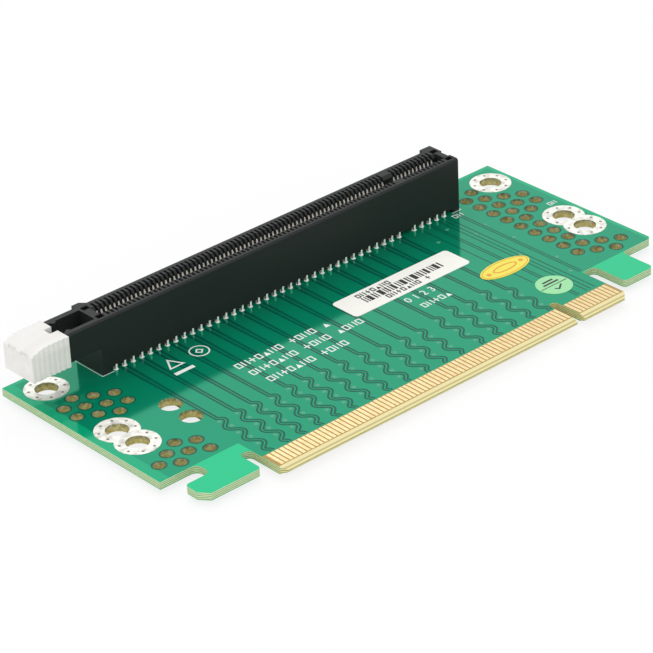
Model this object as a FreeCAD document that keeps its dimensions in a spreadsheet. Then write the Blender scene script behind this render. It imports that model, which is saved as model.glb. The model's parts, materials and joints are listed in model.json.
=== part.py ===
import FreeCAD, Part
import os
import re
import Sketcher
from FreeCAD import Vector

# Riser card for a server: a bare circuit board with an edge connector at the
# front, one card slot standing at the rear and a sliding card retainer at the
# slot's left end.
# Frame: X along the contacts towards pin 1, Y from the tip of the edge
# connector to the rear, Z up. Origin: middle of the key notch, tip of the edge
# connector, underside of the board. Millimetres.

SIZES = {
    # board
    "board_thick": 1.57,
    "wing_left": 17.5,
    "wing_right": 19.15,
    "board_rear": 56.85,
    "wing_front": 12.05,
    "wing_round": 1.0,
    # edge connector tongue
    "pin_pitch": 1.0,
    "key_to_pin": 1.5,
    "short_pins": 11,
    "long_pins": 71,
    "tongue_margin": 1.1,
    "tongue_corner": 1.0,
    "bevel_length": 1.3,
    "bevel_depth": 0.53,
    "key_width": 1.9,
    "key_depth": 7.8,
    "key_round": 0.9,
    "finger_width": 0.7,
    "finger_front": 1.46,
    "finger_rear": 5.6,
    "copper_thick": 0.05,
    # hook left of the tongue
    "hook_gap": 2.4,
    "hook_gap_depth": 9.1,
    "hook_gap_round": 1.15,
    "hook_width": 11.1,
    "hook_tip": 3.2,
    "hook_corner": 0.7,
    "nub_reach": 1.55,
    "nub_slant": 1.9,
    "nub_top": 8.3,
    "nub_round": 0.8,
    "undercut_length": 5.75,
    "undercut_round": 1.5,
    # tab right of the tongue
    "tab_gap": 3.25,
    "tab_width": 7.65,
    "tab_tip": 3.9,
    "tab_corner": 0.9,
    "tab_root_round": 1.2,
    # holes
    "vent_hole": 2.4,
    "vent_pitch": 3.81,
    "vent_front": 14.42,
    "vent_inset": 3.33,
    "vent_offset": 5.31,
    "screw_hole": 4.4,
    "screw_pad": 8.4,
    "screw_inset_left": 5.5,
    "screw_inset_right": 5.0,
    "screw_rear": 50.92,
    "pair_rear": 30.6,
    "pair_pitch": 5.74,
    "plain_offset": 12.1,
    # slot housing
    "slot_line": 50.65,
    "slot_width": 1.78,
    "slot_mouth": 2.98,
    "slot_lead_in": 0.6,
    "slot_depth": 8.9,
    "floor_web": 0.5,
    "slot_height": 11.25,
    "slot_end_play": 0.15,
    "key_play": 0.12,
    "key_rest_gap": 0.3,
    "body_width": 7.0,
    "body_past_left": 1.9,
    "body_past_right": 1.85,
    "body_bevel": 0.35,
    "ear_reach": 1.05,
    "ear_left": 1.6,
    "ear_right": 2.7,
    "cavity_width": 0.5,
    "cavity_reach": 2.74,
    "end_pocket_length": 1.5,
    "end_pocket_width": 1.2,
    "end_pocket_depth": 2.5,
    "end_pocket_inset": 0.5,
    "end_notch_width": 2.4,
    "end_notch_depth": 0.45,
    "foot_length": 1.7,
    "foot_height": 0.83,
    # trough at the left end of the slot
    "trough_length": 7.3,
    "trough_lift": 5.53,
    "trough_wall": 1.2,
    "boss_inset": 1.3,
    "boss_size": 1.1,
    "boss_height": 2.6,
    "groove_depth": 0.45,
    "groove_height": 0.85,
    "groove_lift": 0.65,
    "groove_end": 0.6,
    # contacts
    "contact_thick": 0.4,
    "outer_tail": 3.25,
    "inner_tail": 1.25,
    "tail_width": 0.3,
    "jog_height": 0.4,
    "spring_root": 2.1,
    "spring_foot": 0.5,
    "spring_reach": 0.5,
    "spring_bend": 1.45,
    "tip_reach": 1.1,
    "tip_drop": 0.9,
    "solder_size": 1.3,
    "solder_height": 0.9,
    # card retainer
    "grip_length": 8.4,
    "grip_width": 8.7,
    "grip_rise": 0.13,
    "grip_hang": 0.4,
    "grip_slope": 4.2,
    "grip_fall": 1.15,
    "rib_pitch": 1.1,
    "rib_groove": 0.55,
    "rib_height": 0.3,
    "rib_count": 7,
    "rib_inset": 0.55,
    "guide_width": 1.9,
    "guide_length": 6.2,
    "guide_open": 1.7,
    "catch_thick": 0.7,
    "arm_thick": 1.1,
    "arm_height": 1.7,
    "arm_lift": 0.2,
    "arm_play": 0.15,
    "arm_end_gap": 0.6,
    "lug_length": 1.4,
    "lug_reach": 0.35,
    "lug_play": 0.1,
    "thumb_notch_width": 2.3,
    "thumb_notch_offset": 1.75,
    "thumb_notch_depth": 0.4,
    "thumb_notch_height": 0.5,
    # stickers
    "sticker_thick": 0.1,
    "barcode_left": -28.6,
    "barcode_front": 29.85,
    "barcode_length": 29.5,
    "barcode_width": 7.1,
    "barcode_round": 0.9,
    "oval_x": 3.8,
    "oval_y": 23.7,
    "oval_length": 12.0,
    "oval_width": 5.4,
    "dot_x": 5.4,
    "dot_y": 12.25,
    "dot_size": 7.1,
}

# Places worked out from the sizes above.
PLACES = {
    "tongue_left": "-key_to_pin - (long_pins - 1) * pin_pitch - tongue_margin",
    "tongue_right": "key_to_pin + (short_pins - 1) * pin_pitch + tongue_margin",
    "board_left": "tongue_left - wing_left",
    "board_right": "tongue_right + wing_right",
    "hook_right": "tongue_left - hook_gap",
    "hook_left": "hook_right - hook_width",
    "nub_left": "hook_left - nub_reach",
    "undercut_end": "nub_left + undercut_length",
    "tab_left": "tongue_right + tab_gap",
    "tab_right": "tab_left + tab_width",
    "screw_left": "board_left + screw_inset_left",
    "screw_right": "board_right - screw_inset_right",
    "plain_left": "screw_left + plain_offset",
    "vent_left": "board_left + vent_inset",
    "vent_right": "tongue_right + vent_offset",
    "body_left": "tongue_left - body_past_left",
    "body_right": "tongue_right + body_past_right",
    "body_front": "slot_line - body_width / 2",
    "body_back": "slot_line + body_width / 2",
    "slot_top": "board_thick + slot_height",
    "slot_floor": "slot_top - slot_depth",
    "slot_left": "tongue_left - slot_end_play",
    "slot_right": "tongue_right + slot_end_play",
    "trough_left": "body_left - trough_length",
    "trough_bottom": "board_thick + trough_lift",
    "groove_bottom": "trough_bottom + groove_lift",
    "trough_inside": "body_width / 2 - trough_wall",
    "grip_left": "trough_left - grip_length",
    "grip_top": "slot_top + grip_rise",
    "grip_bottom": "trough_bottom - grip_hang",
    "arm_bottom": "trough_bottom + arm_lift",
    "arm_outside": "trough_inside - arm_play",
    "arm_inside": "arm_outside - arm_thick",
    "arm_end": "body_left - arm_end_gap",
    "lug_bottom": "groove_bottom + lug_play",
    "bump_level": "slot_top - tip_drop - spring_bend",
    "tip_level": "slot_top - tip_drop",
}

# Facets of round shapes that repeat
VENT_SIDES = 12
RING_SIDES = 24

# Columns of ventilation holes, in half rows of the triangular grid. Each
# column stands beside the last by the height of the grid's triangle.
VENTS_LEFT = {0: (1, 13, 15), 1: (0, 2, 12, 14, 16), 2: (1, 3, 11, 13, 15), 3: (0, 2, 12, 14)}
VENTS_RIGHT = {
    0: range(2, 19, 2),
    1: range(1, 20, 2),
    2: (0, 2, 12, 14, 16),
    3: (1, 13, 15),
}

doc = FreeCAD.newDocument("riser_card")
sheet = doc.addObject("Spreadsheet::Sheet", "dims")
for row, (alias, number) in enumerate(SIZES.items(), start=1):
    sheet.set("A%d" % row, alias)
    sheet.set("B%d" % row, str(number))
    sheet.setAlias("B%d" % row, alias)
doc.recompute()

SIZE_NAME = re.compile(r"\b(%s)\b" % "|".join(SIZES))
PLACE_NAME = re.compile(r"\b(%s)\b" % "|".join(PLACES))
parts = []


def linked(text):
    """Expression with each place written out and each size read from the sheet."""
    while PLACE_NAME.search(text):
        text = PLACE_NAME.sub(lambda found: "(%s)" % PLACES[found.group(0)], text)
    return SIZE_NAME.sub(r"dims.\1", text)


def value(text):
    """Number that an expression gives now."""
    return float(sheet.evalExpression(linked(text)))


def bind(item, name, text):
    item.setExpression(name, linked(text))


def new_body(name):
    body = doc.addObject("PartDesign::Body", name)
    body.Label = name
    body.AllowCompound = True
    parts.append(body)
    return body


def origin_item(body, role):
    return [item for item in body.Origin.OriginFeatures if item.Role == role][0]


def new_sketch(body, name, role, level="0"):
    """Sketch on an origin plane of its body, moved along the plane's normal."""
    sketch = body.newObject("Sketcher::SketchObject", name)
    sketch.AttachmentSupport = (origin_item(body, role), [""])
    sketch.MapMode = "FlatFace"
    bind(sketch, "AttachmentOffset.Base.z", level)
    return sketch


def fix_point(sketch, edge, end, across, up):
    for kind, text in (("DistanceX", across), ("DistanceY", up)):
        index = sketch.addConstraint(Sketcher.Constraint(kind, edge, end, value(text)))
        bind(sketch, "Constraints[%d]" % index, text)


def add_outline(sketch, corners):
    """Closed chain of lines, each corner held at its two expressions."""
    spots = [Vector(value(across), value(up), 0) for across, up in corners]
    first = sketch.GeometryCount
    count = len(spots)
    for index, spot in enumerate(spots):
        sketch.addGeometry(Part.LineSegment(spot, spots[(index + 1) % count]), False)
    for index in range(count):
        following = first + (index + 1) % count
        sketch.addConstraint(Sketcher.Constraint("Coincident", first + index, 2, following, 1))
    for index, (across, up) in enumerate(corners):
        fix_point(sketch, first + index, 1, across, up)


def add_box(sketch, left, right, front, back):
    add_outline(sketch, [(left, front), (right, front), (right, back), (left, back)])


def add_circle(sketch, across, up, diameter):
    centre = Vector(value(across), value(up), 0)
    circle = Part.Circle(centre, Vector(0, 0, 1), value(diameter) / 2)
    index = sketch.addGeometry(circle, False)
    fix_point(sketch, index, 3, across, up)
    limit = sketch.addConstraint(Sketcher.Constraint("Diameter", index, value(diameter)))
    bind(sketch, "Constraints[%d]" % limit, diameter)


def extrude(body, kind, sketch, length, name, reverse=False):
    """Pad or pocket of a sketch."""
    feature = body.newObject("PartDesign::" + kind, name)
    feature.Profile = sketch
    feature.Reversed = reverse
    feature.Refine = False
    bind(feature, "Length", length)
    body.Tip = feature
    doc.recompute()
    return feature


def repeat_along(body, feature, spacing, count, name, reverse=False):
    """Copies of a feature along X."""
    pattern = body.newObject("PartDesign::LinearPattern", name)
    pattern.Originals = [feature]
    pattern.Direction = (origin_item(body, "X_Axis"), [""])
    pattern.Mode = "Spacing"
    pattern.Reversed = reverse
    pattern.Refine = False
    bind(pattern, "Offset", spacing)
    bind(pattern, "Occurrences", count)
    body.Tip = pattern
    doc.recompute()
    return pattern


def prism(across, up, level, diameter, height, sides):
    """Regular prism for a round shape that repeats."""
    item = doc.addObject("Part::Prism", "prism")
    item.Polygon = sides
    bind(item, "Circumradius", "(%s) / 2" % diameter)
    bind(item, "Height", height)
    for axis, text in (("x", across), ("y", up), ("z", level)):
        bind(item, "Placement.Base." + axis, text)
    return item


def cut_out(name, base, tools):
    """Base less all tools, as a part of its own."""
    group = doc.addObject("Part::Compound", name + "_tools")
    group.Links = tools
    cut = doc.addObject("Part::Cut", name)
    cut.Label = name
    cut.Base = base
    cut.Tool = group
    doc.recompute()
    parts.append(cut)


def round_corners(body, radius, spots, name):
    """Fillet of the upright edges that stand at the given places."""
    wanted = [(value(across), value(up)) for across, up in spots]
    edges = []
    for index, edge in enumerate(body.Shape.Edges, start=1):
        ends = [vertex.Point for vertex in edge.Vertexes]
        if len(ends) != 2 or abs(ends[0].z - ends[1].z) < 1e-6:
            continue
        for across, up in wanted:
            if all(abs(end.x - across) < 1e-4 and abs(end.y - up) < 1e-4 for end in ends):
                edges.append("Edge%d" % index)
    base = body.Tip
    fillet = body.newObject("PartDesign::Fillet", name)
    fillet.Base = (base, edges)
    bind(fillet, "Radius", radius)
    body.Tip = fillet
    doc.recompute()


# Board

def build_board():
    body = new_body("board_panel")
    parts.remove(body)
    outline = new_sketch(body, "board_outline", "XY_Plane")
    add_outline(outline, [
        ("board_left", "wing_front"),
        ("undercut_end", "wing_front"),
        ("undercut_end", "nub_top"),
        ("nub_left", "nub_top"),
        ("nub_left", "hook_tip + nub_slant"),
        ("hook_left", "hook_tip"),
        ("hook_right", "hook_tip"),
        ("hook_right", "hook_gap_depth"),
        ("tongue_left", "hook_gap_depth"),
        ("tongue_left", "tongue_corner"),
        ("tongue_left + tongue_corner", "0"),
        ("-key_width / 2", "0"),
        ("-key_width / 2", "key_depth"),
        ("key_width / 2", "key_depth"),
        ("key_width / 2", "0"),
        ("tongue_right - tongue_corner", "0"),
        ("tongue_right", "tongue_corner"),
        ("tongue_right", "wing_front"),
        ("tab_left", "wing_front"),
        ("tab_left", "tab_tip"),
        ("tab_right", "tab_tip"),
        ("tab_right", "wing_front"),
        ("board_right", "wing_front"),
        ("board_right", "board_rear"),
        ("board_left", "board_rear"),
    ])
    extrude(body, "Pad", outline, "board_thick", "board_blank")
    round_corners(body, "undercut_round",
                  [("undercut_end", "wing_front"), ("undercut_end", "nub_top")], "undercut_rounds")
    round_corners(body, "nub_round", [("nub_left", "nub_top")], "nub_rounds")
    round_corners(body, "hook_corner", [("hook_right", "hook_tip")], "hook_rounds")
    round_corners(body, "hook_gap_round",
                  [("hook_right", "hook_gap_depth"), ("tongue_left", "hook_gap_depth")], "gap_rounds")
    round_corners(body, "key_round",
                  [("-key_width / 2", "key_depth"), ("key_width / 2", "key_depth")], "key_rounds")
    round_corners(body, "tab_root_round",
                  [(across, "wing_front") for across in ("tongue_right", "tab_left", "tab_right")],
                  "tab_root_rounds")
    round_corners(body, "tab_corner",
                  [("tab_left", "tab_tip"), ("tab_right", "tab_tip")], "tab_rounds")
    round_corners(body, "wing_round", [("board_right", "wing_front")], "wing_rounds")
    cut_bevels(body)
    cut_screw_holes(body)
    vents = [prism(across, up, "0", "vent_hole", "board_thick", VENT_SIDES)
             for across, up in vent_places()]
    cut_out("circuit_board", body, vents)


def cut_bevels(body):
    """Slopes on both faces along the tip of the tongue."""
    bevel = new_sketch(body, "bevel_profile", "YZ_Plane", "tongue_left")
    add_outline(bevel, [
        ("0", "0"),
        ("bevel_length", "0"),
        ("0", "bevel_depth"),
    ])
    add_outline(bevel, [
        ("0", "board_thick"),
        ("bevel_length", "board_thick"),
        ("0", "board_thick - bevel_depth"),
    ])
    extrude(body, "Pocket", bevel, "tongue_right - tongue_left", "tip_bevels", reverse=True)


def vent_places():
    for start, columns in (("vent_left", VENTS_LEFT), ("vent_right", VENTS_RIGHT)):
        for column, rows in columns.items():
            across = "%s + %d * vent_pitch * sqrt(3) / 2" % (start, column)
            for half_row in rows:
                yield across, "vent_front + %d * vent_pitch / 2" % half_row


def screw_places():
    """Padded screw places: rear pair first, then the two near pairs."""
    rear = [("screw_left", "screw_rear"), ("screw_right", "screw_rear")]
    far = [("screw_left", "pair_rear"), ("screw_right", "pair_rear")]
    near = [("screw_left", "pair_rear - pair_pitch"), ("screw_right", "pair_rear - pair_pitch")]
    return rear, far, near


def cut_screw_holes(body):
    rear, far, near = screw_places()
    plain = [("plain_left", "pair_rear"), ("plain_left", "pair_rear - pair_pitch")]
    holes = new_sketch(body, "screw_circles", "XY_Plane")
    for across, up in rear + far + near + plain:
        add_circle(holes, across, up, "screw_hole")
    extrude(body, "Pocket", holes, "board_thick", "screw_holes", reverse=True)


def build_screw_pads(name, places):
    """Rings of bare metal round screw holes, grown together where they meet."""
    discs = [prism(across, up, "board_thick", "screw_pad", "copper_thick", RING_SIDES)
             for across, up in places]
    holes = [prism(across, up, "board_thick", "screw_hole", "copper_thick", RING_SIDES)
             for across, up in places]
    joined = doc.addObject("Part::MultiFuse", name + "_discs")
    joined.Shapes = discs
    cut_out(name, joined, holes)


# Edge contacts

def build_fingers(name, first, count, level, reverse):
    """Gold plates on one face of the tongue, on one side of the key notch."""
    body = new_body(name)
    plate = new_sketch(body, name + "_plate", "XY_Plane", level)
    add_box(plate, first + " - finger_width / 2", first + " + finger_width / 2",
            "finger_front", "finger_rear")
    pad = extrude(body, "Pad", plate, "copper_thick", name + "_first")
    repeat_along(body, pad, "pin_pitch", count, name + "_row", reverse)


# Slot housing

def pin_rows(parity):
    """First place, count and direction of every second pin, short side then long."""
    if parity == "even":
        return [("key_to_pin + pin_pitch", "floor(short_pins / 2)", False),
                ("-key_to_pin", "floor((long_pins + 1) / 2)", True)]
    return [("key_to_pin", "floor((short_pins + 1) / 2)", False),
            ("-key_to_pin - pin_pitch", "floor(long_pins / 2)", True)]


def build_housing():
    body = new_body("slot_housing")
    block = new_sketch(body, "body_outline", "XY_Plane", "board_thick")
    add_outline(block, [
        ("body_left", "body_front"),
        ("body_right", "body_front"),
        ("body_right", "body_back + ear_reach"),
        ("body_right - ear_right", "body_back + ear_reach"),
        ("body_right - ear_right", "body_back"),
        ("body_left + ear_left + ear_reach", "body_back"),
        ("body_left + ear_left", "body_back + ear_reach"),
        ("body_left", "body_back + ear_reach"),
    ])
    extrude(body, "Pad", block, "slot_height", "body_block")
    walls = new_sketch(body, "trough_plan", "XY_Plane", "trough_bottom")
    add_box(walls, "trough_left", "body_left", "body_front", "body_front + trough_wall")
    add_box(walls, "trough_left", "body_left", "body_back - trough_wall", "body_back")
    extrude(body, "Pad", walls, "slot_height - trough_lift", "trough_walls")
    bosses = new_sketch(body, "boss_circles", "XY_Plane", "slot_top - boss_height")
    for up in ("body_front + trough_wall", "body_back - trough_wall"):
        add_circle(bosses, "trough_left + boss_inset", up, "boss_size")
    extrude(body, "Pad", bosses, "boss_height", "trough_bosses")
    grooves = new_sketch(body, "groove_plan", "XY_Plane", "groove_bottom")
    for inner, outer in (("slot_line - trough_inside", "-groove_depth"),
                         ("slot_line + trough_inside", "+groove_depth")):
        add_box(grooves, "trough_left + groove_end", "body_left - groove_end + lug_play",
                inner, inner + " " + outer)
    extrude(body, "Pocket", grooves, "groove_height", "trough_grooves", reverse=True)
    bevel = new_sketch(body, "body_bevel_profile", "YZ_Plane", "trough_left")
    add_outline(bevel, [
        ("body_front", "slot_top"),
        ("body_front + body_bevel", "slot_top"),
        ("body_front", "slot_top - body_bevel"),
    ])
    extrude(body, "Pocket", bevel, "body_right - trough_left", "body_front_bevel", reverse=True)
    cut_card_slot(body)
    cut_end_recesses(body)
    cut_lead_channels(body)
    cut_cavities(body)


def cut_card_slot(body):
    slot = new_sketch(body, "slot_profile", "YZ_Plane", "slot_left")
    add_outline(slot, [
        ("slot_line - slot_width / 2", "slot_floor"),
        ("slot_line + slot_width / 2", "slot_floor"),
        ("slot_line + slot_width / 2", "slot_top - slot_lead_in"),
        ("slot_line + slot_mouth / 2", "slot_top"),
        ("slot_line - slot_mouth / 2", "slot_top"),
        ("slot_line - slot_width / 2", "slot_top - slot_lead_in"),
    ])
    extrude(body, "Pocket", slot, "slot_right - slot_left", "card_slot", reverse=True)
    key = new_sketch(body, "key_plan", "XY_Plane", "slot_floor")
    add_box(key, "-key_width / 2 + key_play", "key_width / 2 - key_play",
            "slot_line - slot_width / 2", "slot_line + slot_width / 2")
    extrude(body, "Pad", key, "key_depth - key_rest_gap", "key_bar")


def cut_cavities(body):
    """Slits for the contacts, open to the card slot above and to the channels below."""
    for side, first, count, reverse in (("short", "key_to_pin", "short_pins", False),
                                        ("long", "-key_to_pin", "long_pins", True)):
        slits = new_sketch(body, "cavity_plan_" + side, "XY_Plane", "slot_floor - floor_web")
        left = first + " - cavity_width / 2"
        right = first + " + cavity_width / 2"
        add_box(slits, left, right, "slot_line - cavity_reach", "slot_line - slot_width / 2")
        add_box(slits, left, right, "slot_line + slot_width / 2", "slot_line + cavity_reach")
        pocket = extrude(body, "Pocket", slits, "slot_depth + floor_web", "cavity_" + side,
                         reverse=True)
        repeat_along(body, pocket, "pin_pitch", count, "cavities_" + side, reverse)


def cut_end_recesses(body):
    pockets = new_sketch(body, "end_pocket_plan", "XY_Plane", "slot_top")
    for left, right in (
        ("body_left + end_pocket_inset", "body_left + end_pocket_inset + end_pocket_length"),
        ("body_right - end_pocket_inset - end_pocket_length", "body_right - end_pocket_inset"),
    ):
        add_box(pockets, left, right, "slot_line - cavity_reach",
                "slot_line - cavity_reach + end_pocket_width")
        add_box(pockets, left, right, "slot_line + cavity_reach - end_pocket_width",
                "slot_line + cavity_reach")
    extrude(body, "Pocket", pockets, "end_pocket_depth", "end_pockets")
    notch = new_sketch(body, "end_notch_plan", "XY_Plane", "board_thick")
    add_box(notch, "body_right - end_notch_depth", "body_right",
            "slot_line - end_notch_width / 2", "slot_line + end_notch_width / 2")
    extrude(body, "Pocket", notch, "slot_height", "end_notch", reverse=True)


def cut_lead_channels(body):
    """Channels under both rows of cavities, open at the foot of the long faces."""
    left = "body_left + foot_length"
    right = "body_right - foot_length"
    channels = new_sketch(body, "channel_plan", "XY_Plane", "board_thick")
    add_box(channels, left, right, "slot_line - cavity_reach", "slot_line - slot_width / 2")
    add_box(channels, left, right, "slot_line + slot_width / 2", "slot_line + cavity_reach")
    extrude(body, "Pocket", channels, "slot_floor - floor_web - board_thick", "lead_channels",
            reverse=True)
    recesses = new_sketch(body, "recess_plan", "XY_Plane", "board_thick")
    add_box(recesses, left, right, "body_front", "slot_line - cavity_reach")
    add_box(recesses, left, right, "slot_line + cavity_reach", "body_back")
    extrude(body, "Pocket", recesses, "foot_height", "lead_recesses", reverse=True)


# Contacts of the slot

def contact_profile(row, side):
    """Corners of one contact seen from its end: tail, spring blade and bent tip."""
    sign = "-" if side == "front" else "+"

    def across(distance):
        return "slot_line %s (%s)" % (sign, distance)

    spring = [
        (across("spring_reach"), "bump_level"),
        (across("tip_reach"), "tip_level"),
    ]
    if row == "inner":
        return [
            (across("inner_tail + tail_width / 2"), "board_thick"),
            (across("inner_tail - tail_width / 2"), "board_thick"),
        ] + spring
    return [
        (across("outer_tail + tail_width / 2"), "board_thick"),
        (across("outer_tail - tail_width / 2"), "board_thick"),
        (across("spring_root - spring_foot"), "board_thick + jog_height"),
    ] + spring + [
        (across("spring_root"), "board_thick + 2 * jog_height"),
        (across("outer_tail + tail_width / 2"), "board_thick + 2 * jog_height"),
    ]


def build_contacts(side, row, parity):
    name = "contacts_%s_%s" % (side, row)
    body = new_body(name)
    for number, (first, count, reverse) in enumerate(pin_rows(parity), start=1):
        label = "%s_%d" % (name, number)
        profile = new_sketch(body, label + "_profile", "YZ_Plane", first + " - contact_thick / 2")
        add_outline(profile, contact_profile(row, side))
        blade = extrude(body, "Pad", profile, "contact_thick", label)
        repeat_along(body, blade, "2 * pin_pitch", count, label + "_row", reverse)


def build_solder_joints(side, row, parity):
    """Pointed joints under the board, one below each contact of a row."""
    name = "solder_joints_%s_%s" % (side, row)
    body = new_body(name)
    sign = "-" if side == "front" else "+"
    for number, (first, count, reverse) in enumerate(pin_rows(parity), start=1):
        label = "%s_%d" % (name, number)
        joint = body.newObject("PartDesign::AdditiveWedge", label)
        joint.Placement = FreeCAD.Placement(Vector(), FreeCAD.Rotation(Vector(1, 0, 0), -90))
        for edge in ("Xmin", "Zmin"):
            bind(joint, edge, "-solder_size / 2")
        for edge in ("Xmax", "Zmax"):
            bind(joint, edge, "solder_size / 2")
        for edge in ("X2min", "X2max", "Z2min", "Z2max", "Ymin"):
            setattr(joint, edge, 0)
        bind(joint, "Ymax", "solder_height")
        bind(joint, "Placement.Base.x", first)
        bind(joint, "Placement.Base.y", "slot_line %s %s_tail" % (sign, row))
        doc.recompute()
        repeat_along(body, joint, "2 * pin_pitch", count, label + "_row", reverse)


# Card retainer

def build_retainer():
    body = new_body("card_retainer")
    side = new_sketch(body, "grip_side", "XZ_Plane", "-slot_line - grip_width / 2")
    add_grip_side(side)
    extrude(body, "Pad", side, "grip_width", "grip_block")
    cut_grip(body)
    arms = new_sketch(body, "arm_plan", "XY_Plane", "arm_bottom")
    add_box(arms, "trough_left", "arm_end", "slot_line - arm_outside", "slot_line - arm_inside")
    add_box(arms, "trough_left", "arm_end", "slot_line + arm_inside", "slot_line + arm_outside")
    extrude(body, "Pad", arms, "arm_height", "arms")
    lugs = new_sketch(body, "lug_plan", "XY_Plane", "lug_bottom")
    add_box(lugs, "arm_end - lug_length", "arm_end",
            "slot_line - trough_inside - lug_reach", "slot_line - arm_outside")
    add_box(lugs, "arm_end - lug_length", "arm_end",
            "slot_line + arm_outside", "slot_line + trough_inside + lug_reach")
    extrude(body, "Pad", lugs, "groove_height - 2 * lug_play", "lugs")


def add_grip_side(sketch):
    """Block seen from the side: flat top, then a round fall to the left end."""
    left = ("grip_left", "grip_top - grip_fall")
    crest = ("grip_left + grip_slope", "grip_top")
    corners = [left, ("grip_left", "grip_bottom"), ("trough_left", "grip_bottom"),
               ("trough_left", "grip_top"), crest]
    spots = [Vector(value(across), value(up), 0) for across, up in corners]
    for start, end in zip(spots, spots[1:]):
        sketch.addGeometry(Part.LineSegment(start, end), False)
    slope = value("grip_slope")
    fall = value("grip_fall")
    radius = (slope ** 2 + fall ** 2) / (2 * fall)
    centre = spots[4] - Vector(0, radius, 0)
    middle = centre + (spots[0] + spots[4] - centre * 2).normalize() * radius
    sketch.addGeometry(Part.Arc(spots[4], middle, spots[0]), False)
    ends = sketch.Geometry[4]
    arc_from, arc_to = (1, 2) if ends.StartPoint.distanceToPoint(spots[4]) < 1e-6 else (2, 1)
    for index in range(3):
        sketch.addConstraint(Sketcher.Constraint("Coincident", index, 2, index + 1, 1))
    sketch.addConstraint(Sketcher.Constraint("Tangent", 3, 2, 4, arc_from))
    sketch.addConstraint(Sketcher.Constraint("Coincident", 4, arc_to, 0, 1))
    for index, (across, up) in enumerate(corners[:4]):
        fix_point(sketch, index, 1, across, up)
    fix_point(sketch, 3, 2, *crest)


def cut_grip(body):
    grooves = new_sketch(body, "rib_groove_plan", "XY_Plane", "grip_bottom")
    left = "grip_left + rib_inset"
    right = "grip_left + rib_inset + rib_groove"
    add_box(grooves, left, right, "slot_line - grip_width / 2",
            "slot_line - grip_width / 2 + rib_height")
    add_box(grooves, left, right, "slot_line + grip_width / 2 - rib_height",
            "slot_line + grip_width / 2")
    groove = extrude(body, "Pocket", grooves, "grip_top - grip_bottom", "rib_groove", reverse=True)
    repeat_along(body, groove, "rib_pitch", "rib_count", "rib_grooves")
    guide = new_sketch(body, "guide_plan", "XY_Plane", "grip_bottom")
    add_box(guide, "trough_left - guide_length", "trough_left",
            "slot_line - guide_width / 2", "slot_line + guide_width / 2")
    extrude(body, "Pocket", guide, "grip_top - grip_bottom - catch_thick", "card_guide",
            reverse=True)
    mouth = new_sketch(body, "guide_mouth_plan", "XY_Plane", "grip_top")
    add_box(mouth, "trough_left - guide_open", "trough_left",
            "slot_line - guide_width / 2", "slot_line + guide_width / 2")
    extrude(body, "Pocket", mouth, "catch_thick", "guide_mouth")
    notches = new_sketch(body, "thumb_notch_plan", "XY_Plane",
                         "grip_top - grip_fall - thumb_notch_height")
    for sign in "-+":
        middle = "slot_line %s thumb_notch_offset" % sign
        add_box(notches, "grip_left", "grip_left + thumb_notch_depth",
                middle + " - thumb_notch_width / 2", middle + " + thumb_notch_width / 2")
    extrude(body, "Pocket", notches, "grip_fall + thumb_notch_height", "thumb_notches",
            reverse=True)


# Stickers

def build_stickers():
    barcode = new_body("barcode_label")
    plan = new_sketch(barcode, "barcode_plan", "XY_Plane", "board_thick")
    right = "barcode_left + barcode_length"
    back = "barcode_front + barcode_width"
    add_box(plan, "barcode_left", right, "barcode_front", back)
    extrude(barcode, "Pad", plan, "sticker_thick", "barcode_sheet")
    round_corners(barcode, "barcode_round",
                  [("barcode_left", "barcode_front"), (right, "barcode_front"),
                   (right, back), ("barcode_left", back)], "barcode_corners")

    rim = doc.addObject("Part::Ellipse", "oval_rim")
    bind(rim, "MajorRadius", "oval_length / 2")
    bind(rim, "MinorRadius", "oval_width / 2")
    bind(rim, "Placement.Base.x", "oval_x")
    bind(rim, "Placement.Base.y", "oval_y")
    bind(rim, "Placement.Base.z", "board_thick")
    oval = doc.addObject("Part::Extrusion", "oval_label")
    oval.Base = rim
    oval.DirMode = "Custom"
    oval.Dir = Vector(0, 0, 1)
    oval.Solid = True
    bind(oval, "LengthFwd", "sticker_thick")
    parts.append(oval)

    dot = doc.addObject("Part::Cylinder", "round_label")
    bind(dot, "Radius", "dot_size / 2")
    bind(dot, "Height", "sticker_thick")
    bind(dot, "Placement.Base.x", "dot_x")
    bind(dot, "Placement.Base.y", "dot_y")
    bind(dot, "Placement.Base.z", "board_thick")
    parts.append(dot)


def export_parts():
    doc.recompute()
    for item in doc.Objects:
        if "Invalid" in item.State or "Error" in item.State:
            raise RuntimeError("%s did not build: %s" % (item.Name, item.State))
    os.makedirs("parts", exist_ok=True)
    for part in parts:
        if part.Shape.isNull() or not part.Shape.isValid():
            raise RuntimeError("%s has no valid shape" % part.Label)
        part.Shape.exportStep("parts/%s.step" % part.Label)


build_board()
rear_places, far_places, near_places = screw_places()
build_screw_pads("screw_pads_rear", rear_places)
build_screw_pads("screw_pads_paired", far_places + near_places)
for face, level in (("top", "board_thick"), ("bottom", "-copper_thick")):
    build_fingers("fingers_%s_long" % face, "-key_to_pin", "long_pins", level, True)
    build_fingers("fingers_%s_short" % face, "key_to_pin", "short_pins", level, False)
build_housing()
for side, row, parity in (("front", "outer", "even"), ("front", "inner", "odd"),
                          ("rear", "inner", "even"), ("rear", "outer", "odd")):
    build_contacts(side, row, parity)
    build_solder_joints(side, row, parity)
build_retainer()
build_stickers()
export_parts()
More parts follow.
